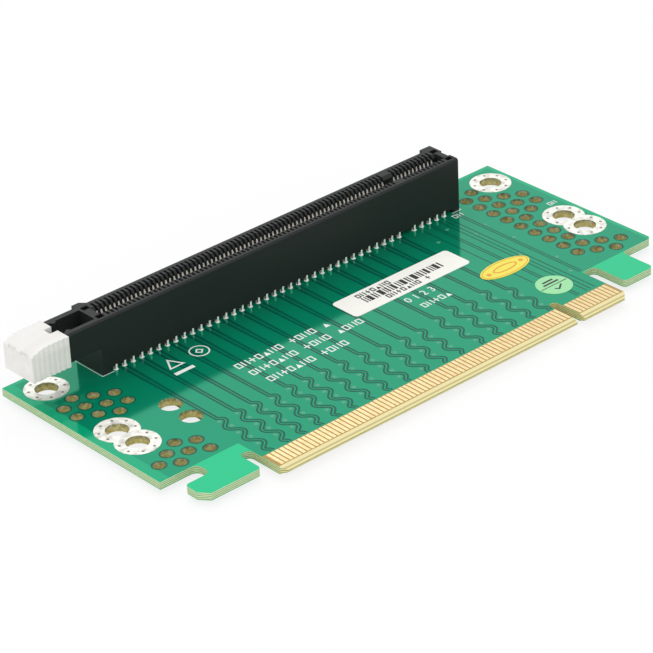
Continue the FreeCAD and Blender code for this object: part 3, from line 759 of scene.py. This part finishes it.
def ink_and_shade_material(name, color):
    """Printed ink, a little uneven at its grain; the same finish also gives the via caps and the
    painted shade of the ring vias.
    """
    material, tree, shader = new_material(name)
    feed(tree, shader, {
        "Base Color": mottled(tree, object_place(tree), 4500.0, 2.0, color, 0.92, 1.05),
        "Roughness": 0.5})
    add_grain(tree, shader, 6000.0, 0.002 * MM, 0.2)
    return material


# Operators

class RISER_OT_board(bpy.types.Operator):
    """Gives the board its mask, laminate edges and drilled walls"""
    bl_idname = "riser.board"
    bl_label = "Board"

    def execute(self, context):
        dress(mask_material(), "circuit_board")
        return {"FINISHED"}


class RISER_OT_traces(bpy.types.Operator):
    """Adds the traces above and below, the small vias and the dark rims of the ventilation holes"""
    bl_idname = "riser.traces"
    bl_label = "Traces"

    def execute(self, context):
        look = looks("board")
        dark = sunk_line_material()
        starts = points_mesh([(x * MM, 0, 0) for x, _ in WAVE_STARTS],
                             wave_top=[top * MM for _, top in WAVE_STARTS])
        mesh = grow(self.wave_tree(dark), starts, {
            "Front": TRACE_FRONT, "Foot": housing_low.y - 0.1 * MM, "Level": TOP,
            "Swing": look.wave_swing, "Wave": look.wave_length, "Width": look.trace_width,
            "Height": 2 * look.trace_relief})
        add_piece("paired_traces", mesh)
        half = look.trace_width * 0.34
        relief = look.trace_relief
        work = bmesh.new()
        for x, front, rear in STRAIGHT_LINES:
            add_bar(work, x * MM - half, x * MM + half, front * MM, rear * MM,
                    (TOP - relief, TOP + relief))
        add_piece("straight_traces", work, dark)
        work = bmesh.new()
        for x, _ in WAVE_STARTS:
            for middle in (x * MM - LOWER_GAP / 2, x * MM + LOWER_GAP / 2):
                add_bar(work, middle - half, middle + half, TRACE_FRONT, joints_low.y - 0.4 * MM,
                        (-relief, relief))
        add_piece("lower_traces", work, dark)
        self.add_vias(look)
        self.add_rims(look, dark)
        return {"FINISHED"}

    def wave_tree(self, material):
        """Pairs of lines that run back from the fingers in waves, then straight to the slot."""
        tree, given = new_tree("paired_trace", {
            "Front": 0.006, "Foot": 0.047, "Level": 0.0016, "Swing": 0.0007, "Wave": 0.005,
            "Width": 0.0002, "Height": 0.00002, "Near": 0.00032, "Far": 0.0005, "Foot share": 1.7})
        line = result(tree, "GeometryNodeCurvePrimitiveLine", {
            "Start": vector_of(tree, y=given["Front"], z=given["Level"]),
            "End": vector_of(tree, y=given["Foot"], z=given["Level"])})
        fine = result(tree, "GeometryNodeResampleCurve", {"Curve": line, "Count": 220})
        copies = copies_on(tree, given["Geometry"], fine)
        lines = result(tree, "GeometryNodeRealizeInstances", (copies,))
        along = parts_of(tree, result(tree, "GeometryNodeInputPosition"))[1]

        # Sideways waves that fade at both ends
        top = result(tree, "GeometryNodeInputNamedAttribute", {"Name": "wave_top"})
        past = calc(tree, "SUBTRACT", top, along)
        rise = ramp(tree, past, *FADE_TOP, shape="SMOOTHSTEP")
        fall = ramp(tree, calc(tree, "SUBTRACT", along, given["Front"]), *FADE_FRONT,
                    shape="SMOOTHSTEP")
        swing = times(tree, times(tree, rise, fall), given["Swing"])
        turns = times(tree, calc(tree, "DIVIDE", past, given["Wave"]), 2 * math.pi)
        rounded = calc(tree, "TANH", times(tree, calc(tree, "SINE", turns), WAVE_ROUNDING))
        aside = times(tree, calc(tree, "DIVIDE", rounded, math.tanh(WAVE_ROUNDING)), swing)
        waved = result(tree, "GeometryNodeSetPosition", {
            "Geometry": lines, "Offset": vector_of(tree, aside)})

        # Two lines beside each wave, wider apart and broader towards the slot
        across = result(tree, "ShaderNodeVectorMath",
                        (result(tree, "GeometryNodeInputTangent"), (0, 0, 1)),
                        operation="CROSS_PRODUCT")
        to_foot = calc(tree, "SUBTRACT", given["Foot"], along)
        opening = ramp(tree, to_foot, *DRAW_NEAR, given["Far"], given["Near"], "SMOOTHSTEP")
        joined = tree.nodes.new("GeometryNodeJoinGeometry")
        for side in (-1.0, 1.0):
            push = result(tree, "ShaderNodeVectorMath",
                          {0: across, "Scale": times(tree, opening, side)}, operation="SCALE")
            feed(tree, joined, (result(tree, "GeometryNodeSetPosition",
                                       {"Geometry": waved, "Offset": push}),))
        broad = ramp(tree, to_foot, *GROW_NARROW, given["Foot share"], 1.0)
        strip = strip_along(tree, joined.outputs[0], given, {"Scale": broad, "Fill Caps": True})
        close_tree(tree, strip, material)
        return tree

    def add_rims(self, look, dark):
        tree, given = new_tree("hole_rims", {"Radius": 0.0013, "Width": 0.0002, "Height": 0.00002})
        circle = result(tree, "GeometryNodeCurvePrimitiveCircle", {
            "Resolution": 24, "Radius": given["Radius"]})
        close_tree(tree, copies_on(tree, given["Geometry"], strip_along(tree, circle, given)), dark)
        places = []
        for start, columns in ((VENT_LEFT, VENTS_LEFT), (VENT_RIGHT, VENTS_RIGHT)):
            for column, rows in enumerate(columns):
                x = start + column * VENT_PITCH * math.sqrt(3) / 2
                places += [(x, VENT_FRONT + row * VENT_PITCH / 2, TOP) for row in rows]
        mesh = grow(tree, points_mesh(places), {
            "Radius": VENT_RADIUS + look.rim_width / 2, "Width": look.rim_width,
            "Height": 2 * look.trace_relief})
        add_piece("vent_rims", mesh)

    def add_vias(self, look):
        """Caps at the turns of the waves, to the left and right in turn, and a few lone ones."""
        places = []
        for x, top in WAVE_STARTS:
            y = top * MM - look.wave_length / 4
            side = -1
            while y > long_high.y + 2 * MM:
                places.append((x * MM + side * 0.35 * MM, y, TOP))
                y -= look.wave_length / 2
                side = -side
        places += [(x * MM, y * MM, TOP) for x, y in LONE_VIAS]
        scatter("via_caps", places, ink_and_shade_material("via_caps", (0.07, 0.34, 0.19)),
                radius=0.4 * MM, height=1.6 * look.trace_relief, sides=12)


class RISER_OT_print(bpy.types.Operator):
    """Adds the white print: the slot's outline, plain numbers and simple marks"""
    bl_idname = "riser.board_print"
    bl_label = "Board print"

    def execute(self, context):
        look = looks("print")
        ink = (TOP, TOP + look.ink_height)
        work = bmesh.new()
        left = long_low.x - OUTLINE_LEFT
        right = housing_high.x + 0.2 * MM
        back = housing_low.y - 0.1 * MM
        front = back - OUTLINE_WIDTH
        add_bar(work, left, left + OUTLINE_RUNS[0], front, back, ink)
        add_bar(work, left - OUTLINE_WIDTH, left, front, housing_high.y, ink)
        add_bar(work, right - OUTLINE_RUNS[1], right, front, back, ink)
        add_bar(work, right, right + OUTLINE_WIDTH, front, housing_high.y, ink)
        for sizes in MARK_LINES:
            add_marks(work, *mm(sizes), ink)
        ring = mm(RING_PLACE)
        add_ring(work, disc(*ring, 2.0 * MM), disc(*ring, 1.72 * MM), ink)
        add_ring(work, disc(*ring, 0.95 * MM, sides=4), disc(*ring, 0.55 * MM, sides=4), ink)
        add_bar(work, *mm(BAR_SIDES), ink)
        add_ring(work, outline_mm(PEAK_OUTER), outline_mm(PEAK_INNER), ink)
        letters = text_mesh(NUMBERS[0], *mm(NUMBERS[1:]), TOP + look.ink_height / 2)
        add_piece("board_print", finish_mesh(work, letters),
                  ink_and_shade_material("board_ink", look.ink_color))
        return {"FINISHED"}


class RISER_OT_contacts(bpy.types.Operator):
    """Finishes the gold fingers and the slot's contacts"""
    bl_idname = "riser.contacts"
    bl_label = "Contacts"

    def execute(self, context):
        look = looks("metal")
        gold = metal_material("finger_gold", look.gold_color, dark=(0.72, 0.45, 0.14), patch=0.45,
                              rough=0.26, scale=900.0, relief=0.003 * MM)
        dress(gold, "fingers_top_long", "fingers_top_short", "fingers_bottom_long",
              "fingers_bottom_short")
        # Pale and half metallic: the contacts' own metal with a painted highlight, so that they
        # show bright in the dark slot
        spring = metal_material("spring_metal", look.spring_glint_color, dark=(0.60, 0.52, 0.38),
                                patch=0.4, rough=0.34, scale=1500.0, relief=0.003 * MM,
                                metallic=0.45)
        dress(spring, "contacts_front_inner", "contacts_front_outer", "contacts_rear_inner",
              "contacts_rear_outer")
        return {"FINISHED"}


class RISER_OT_solder(bpy.types.Operator):
    """Adds the solder round the leads, above and below the board"""
    bl_idname = "riser.solder"
    bl_label = "Solder"

    def execute(self, context):
        look = looks("metal")
        tin = metal_material("solder_tin", look.tin_color, dark=(0.42, 0.40, 0.38), patch=0.4,
                             rough=0.22, scale=1300.0, relief=0.01 * MM)
        # Leads and beads near white and barely metallic: tin with a painted highlight, so that they
        # show bright in the housing's shade
        pale = metal_material("lead_tin", look.lead_glint_color, dark=(0.66, 0.65, 0.62), patch=0.3,
                              rough=0.4, scale=1500.0, relief=0.006 * MM, metallic=0.15)
        lead_tree = rows_tree("lead_rows", pale)
        tree = rows_tree("solder_rows", tin)
        wide = look.solder_radius
        for skip, side in enumerate(("front", "rear")):
            low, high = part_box("contacts_%s_outer" % side)
            if side == "front":
                out, line, face = -1, low.y + TAIL / 2, housing_low.y
            else:
                out, line, face = 1, high.y - TAIL / 2, high.y + 0.1 * MM
            lead = self.lead(wide, (face - line) + out * 0.04 * MM, -out * 0.1 * MM)
            mesh = grow(lead_tree, lead, {
                "Pitch": LEAD_PITCH, "Line": line, "Level": TOP, **lead_rows(skip)})
            add_piece("lead_solder_" + side, mesh)
        for side in ("front", "rear"):
            for row in ("inner", "outer"):
                node = "solder_joints_%s_%s" % (side, row)
                low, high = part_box(node)
                skip = 0 if (side == "front") == (row == "outer") else 1
                cone = self.cone((high.y - low.y) / 2, low.z)
                mesh = grow(tree, cone, {
                    "Pitch": LEAD_PITCH, "Line": (low.y + high.y) / 2, "Level": 0.0,
                    **lead_rows(skip)})
                piece = add_piece(node + "_cones", mesh)
                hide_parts(node)
        return {"FINISHED"}

    def lead(self, wide, front, back):
        """Lead that shows at the foot of the housing, in a flat bead of solder."""
        bead = turned_mesh([(wide * share, high * MM) for share, high in BEAD_PROFILE], 14)
        work = bmesh.new()
        work.from_mesh(bead)
        bpy.data.meshes.remove(bead)
        half = LEAD_WIDTH / 2
        add_bar(work, -half, half, min(front, back), max(front, back), (0, LEAD_RISE))
        return finish_mesh(work)

    def cone(self, foot, deep):
        """Cone of solder that draws in to the lead's end."""
        return turned_mesh([(foot * wide, deep * low) for wide, low in CONE_PROFILE], 12)


class RISER_OT_rings(bpy.types.Operator):
    """Finishes the tinned rings round the screw holes, with dark discs of painted shade where their
    small plated holes open
    """
    bl_idname = "riser.rings"
    bl_label = "Screw rings"

    def execute(self, context):
        look = looks("metal")
        ring = metal_material("ring_tin", look.ring_color, dark=(0.42, 0.40, 0.36), patch=0.8,
                              rough=0.42, scale=700.0, relief=0.02 * MM)
        dress(ring, "screw_pads_rear", "screw_pads_paired")
        centres = mount_holes("rear_screws") + mount_holes("paired_screws")
        middle = HOLE_RADIUS + (PAD_RADIUS - HOLE_RADIUS) * 0.56
        places = []
        for x, y in centres:
            for index in range(look.via_count):
                turn = 2 * math.pi * (index + 0.5) / look.via_count
                place = (x + middle * math.cos(turn), y + middle * math.sin(turn))
                others = (centre for centre in centres if centre != (x, y))
                if min(math.dist(place, centre) for centre in others) > PAD_RADIUS:
                    places += [(*place, rear_rings_high.z), (*place, -RING_SKIN)]
        # Dark discs where the small vias open: painted shade of the holes over the tone of their
        # plated walls
        scatter("ring_vias", places, ink_and_shade_material("via_hollows", (0.24, 0.20, 0.17)),
                radius=look.via_radius, height=0.02 * MM, sides=10)
        work = bmesh.new()
        for centre in centres:
            outer = self.cut_outline(centre, [other for other in centres if other != centre])
            add_ring(work, outer, disc(*centre, HOLE_RADIUS), (-RING_SKIN, 0))
        add_piece("lower_rings", work, ring)
        return {"FINISHED"}

    def cut_outline(self, centre, others):
        """Rim of a ring, cut half way to each neighbour that it would run into."""
        rim = [Vector(place) for place in disc(*centre, PAD_RADIUS)]
        for other in others:
            way = Vector(other) - Vector(centre)
            if way.length < 2 * PAD_RADIUS:
                for place in rim:
                    past = (place - Vector(centre)).dot(way.normalized()) - way.length / 2
                    place -= max(0, past) * way.normalized()
        return rim


class RISER_OT_housing(bpy.types.Operator):
    """Finishes the black housing of the card slot"""
    bl_idname = "riser.housing"
    bl_label = "Slot housing"

    def execute(self, context):
        black = plastic_material("housing_black", looks("plastic").housing_color, rough=0.5,
                                 scale=7000.0, relief=0.012 * MM, specular=0.3)
        dress(black, "slot_housing")
        return {"FINISHED"}


class RISER_OT_retainer(bpy.types.Operator):
    """Finishes the sliding card retainer, its ribs worn and its edges rounded"""
    bl_idname = "riser.retainer"
    bl_label = "Card retainer"

    def execute(self, context):
        look = looks("plastic")
        ivory = plastic_material("retainer_ivory", look.retainer_color, rough=0.45, scale=5000.0,
                                 relief=0.008 * MM, specular=0.45)
        mesh = copy_of("card_retainer")
        crest = min(corner.co.y for corner in mesh.vertices)
        back = max(corner.co.y for corner in mesh.vertices)
        for corner in mesh.vertices:
            for face, inward in ((crest, 1), (back, -1)):
                sunk = (corner.co.y - face) * inward
                if sunk < RIB_DEPTH:
                    corner.co.y += inward * (RIB_DEPTH - sunk) * look.rib_softness
        piece = add_piece("retainer_shell", mesh, ivory, RETAINER)
        edges = piece.modifiers.new("edges", "BEVEL")
        edges.width = look.retainer_edge
        edges.segments = 2
        edges.limit_method = "ANGLE"
        edges.angle_limit = math.radians(35)
        edges.use_clamp_overlap = True
        edges.harden_normals = False
        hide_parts("card_retainer")
        return {"FINISHED"}


class RISER_OT_labels(bpy.types.Operator):
    """Finishes the three stickers and their plain print"""
    bl_idname = "riser.labels"
    bl_label = "Stickers"

    def execute(self, context):
        look = looks("print")
        dress(paper_material("bar_paper", look.paper_color, 0.1), "barcode_label")
        dress(paper_material("oval_paper", look.oval_color, 0.35), "oval_label")
        dress(paper_material("round_paper", look.round_color, 0.35), "round_label")
        black = ink_and_shade_material("black_ink", (0.012, 0.012, 0.012))
        self.print_bars(look, black)
        self.print_oval(look)
        self.print_round(look, black)
        return {"FINISHED"}

    def print_bars(self, look, black):
        """Row of bars between two lines of simple marks."""
        ink = (barcode_high.z, barcode_high.z + look.ink_height)
        left, front = barcode_low.x, barcode_low.y
        work = bmesh.new()
        x = left + 5.2 * MM
        for width, gap in map(mm, zip(cycle(BAR_WIDTHS), cycle(BAR_GAPS))):
            if x + width > barcode_high.x - 4.6 * MM:
                break
            add_bar(work, x, x + width, front + 2.6 * MM, front + 4.7 * MM, ink)
            x += width + gap
        add_marks(work, left + 5.0 * MM, front + 4.95 * MM, 11.0 * MM, 1.35 * MM, ink, 0.2)
        add_marks(work, left + 9.2 * MM, front + 0.95 * MM, 12.0 * MM, 1.35 * MM, ink, 0.2)
        add_piece("bar_label_print", work, black)

    def print_oval(self, look):
        """Rim, a small ring in the middle and a dot at each end."""
        low_corner, high_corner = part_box("oval_label")
        middle = (low_corner + high_corner) / 2
        half = (high_corner - low_corner) / 2
        ink = (high_corner.z, high_corner.z + look.ink_height)
        work = bmesh.new()
        for outer, inner in (((half.x - 0.3 * MM, half.y - 0.3 * MM),
                              (half.x - 0.48 * MM, half.y - 0.48 * MM)),
                             ((half.x * 0.5, half.y * 0.42), (half.x * 0.44, half.y * 0.3))):
            add_ring(work, disc(middle.x, middle.y, *outer, 64),
                     disc(middle.x, middle.y, *inner, 64), ink)
        for side in (-1, 1):
            add_slab(work, disc(middle.x + side * half.x * 0.7, middle.y, 0.5 * MM, sides=24), ink)
        add_piece("oval_label_rim", work,
                  ink_and_shade_material("amber_ink", (0.80, 0.33, 0.03)))

    def print_round(self, look, black):
        """Line across the middle, a tick below it and two bars above."""
        x, y, _ = (round_low + round_high) / 2
        half = (round_high.x - round_low.x) / 2 * 0.93
        thin = 0.09 * MM
        ink = (round_high.z, round_high.z + look.ink_height)
        work = bmesh.new()
        add_bar(work, x - half, x + half, y - thin, y + thin, ink)
        add_slab(work, outline_mm(TICK, x, y), ink)
        for reach, foot in ROUND_BARS:
            add_bar(work, x - reach * MM, x + reach * MM, y + foot * MM,
                    y + (foot + ROUND_BAR_WIDTH) * MM, ink)
        add_piece("round_label_print", work, black)


class RISER_OT_stage(bpy.types.Operator):
    """Adds the floor, the soft light and the camera"""
    bl_idname = "riser.stage"
    bl_label = "Stage"

    def execute(self, context):
        look = looks("stage")
        scene = context.scene
        scene.view_settings.view_transform = "Standard"
        self.add_floor(look)
        self.add_world(scene)
        self.add_light("key_light", (0.06, 0.30, 0.55), 0.5, look.key_power)
        self.add_light("fill_light", (-0.45, -0.35, 0.35), 0.4, look.fill_power)
        self.add_camera(scene, look)
        return {"FINISHED"}

    def ray_mask(self, tree, kinds):
        """1 for light paths of any of the kinds."""
        path = tree.nodes.new("ShaderNodeLightPath").outputs
        seen = path[kinds[0]]
        for kind in kinds[1:]:
            seen = calc(tree, "MAXIMUM", seen, path[kind])
        return seen

    def add_floor(self, look):
        """Wide floor that shows nearly white and still takes the object's shadow."""
        material, tree, shader = new_material("studio_floor")
        feed(tree, shader, {
            "Base Color": mottled(tree, object_place(tree), 6.0, 1.0, look.floor_color, 0.99, 1.0),
            "Roughness": 0.9, "Specular IOR Level": 0.1})
        share = times(tree, self.ray_mask(tree, ("Is Camera Ray", "Is Glossy Ray")), 0.8)
        blend = result(tree, "ShaderNodeMixShader",
                       (share, shader.outputs["BSDF"], result(tree, "ShaderNodeEmission")))
        feed(tree, tree.nodes["Material Output"], {"Surface": blend})
        half = 3.0
        level = cad_box[0].z - 0.02 * MM
        work = bmesh.new()
        corners = rectangle(-half, half, -half, half)
        work.faces.new([work.verts.new((x, y, level)) for x, y in corners])
        mesh = bpy.data.meshes.new("studio_floor")
        work.to_mesh(mesh)
        work.free()
        paint(mesh, material)
        floor = new_object("studio_floor", mesh)

    def add_world(self, scene):
        """Soft even light, white where the camera or a reflection sees it."""
        world = bpy.data.worlds.new("studio")
        world.use_nodes = True
        tree = world.node_tree
        tree.nodes.clear()
        soft, white = (result(tree, "ShaderNodeBackground", ((1, 1, 1, 1), strength))
                       for strength in (0.8, 1.0))
        seen = self.ray_mask(tree, ("Is Camera Ray", "Is Glossy Ray", "Is Transmission Ray"))
        blend = result(tree, "ShaderNodeMixShader", (seen, soft, white))
        add_node(tree, "ShaderNodeOutputWorld", {"Surface": blend})
        scene.world = world

    def add_light(self, name, place, size, power):
        data = bpy.data.lights.new(name, "AREA")
        data.size = size
        data.energy = power
        item = new_object(name, data)
        item.location = place
        away = Vector(place) - Vector(LIGHT_AIM)
        item.rotation_euler = away.to_track_quat("Z", "Y").to_euler()

    def add_camera(self, scene, look):
        turn, lift, roll = (math.radians(angle) for angle in CAMERA_ANGLES)
        back = Vector((math.sin(turn) * math.cos(lift), -math.cos(turn) * math.cos(lift),
                       math.sin(lift)))
        right = Vector((math.cos(turn), math.sin(turn), 0))
        up = back.cross(right)
        level_right = right * math.cos(roll) + up * math.sin(roll)
        level_up = up * math.cos(roll) - right * math.sin(roll)
        data = bpy.data.cameras.new("photo_camera")
        data.lens = look.lens
        data.sensor_width = 36
        data.clip_start = 0.01
        camera = new_object("photo_camera", data)
        place = Matrix((level_right, level_up, back)).transposed().to_4x4()
        place.translation = Vector(CAMERA_PLACE) * MM
        camera.matrix_world = place
        scene.camera = camera


class RISER_PT_panel(bpy.types.Panel):
    """Sizes, colours and steps of the riser card"""
    bl_idname = "RISER_PT_panel"
    bl_label = "Riser card"
    bl_space_type = "VIEW_3D"
    bl_region_type = "UI"
    bl_category = "Riser card"

    def draw(self, context):
        layout = self.layout
        for operator in OPERATORS:
            layout.operator(operator.bl_idname)
        for name, group in LOOKS.items():
            box = layout.box()
            box.label(text=name.capitalize())
            for key in group.__annotations__:
                box.prop(looks(name), key)


LOOKS = {"board": BoardLook, "metal": MetalLook, "plastic": PlasticLook, "print": PrintLook,
         "stage": StageLook}
OPERATORS = (RISER_OT_board, RISER_OT_traces, RISER_OT_print, RISER_OT_contacts, RISER_OT_solder,
             RISER_OT_rings, RISER_OT_housing, RISER_OT_retainer, RISER_OT_labels, RISER_OT_stage)


def register():
    for kind in (*LOOKS.values(), *OPERATORS, RISER_PT_panel):
        bpy.utils.register_class(kind)
    for name, group in LOOKS.items():
        setattr(bpy.types.Scene, "riser_" + name, PointerProperty(type=group))


def unregister():
    for name in LOOKS:
        delattr(bpy.types.Scene, "riser_" + name)
    for kind in (RISER_PT_panel, *reversed(OPERATORS), *reversed(LOOKS.values())):
        bpy.utils.unregister_class(kind)


def main():
    register()
    bpy.ops.riser.stage()
    bpy.ops.riser.board()
    bpy.ops.riser.traces()
    bpy.ops.riser.board_print()
    bpy.ops.riser.contacts()
    bpy.ops.riser.solder()
    bpy.ops.riser.rings()
    bpy.ops.riser.housing()
    bpy.ops.riser.retainer()
    bpy.ops.riser.labels()


if __name__ == "__main__":
    main()
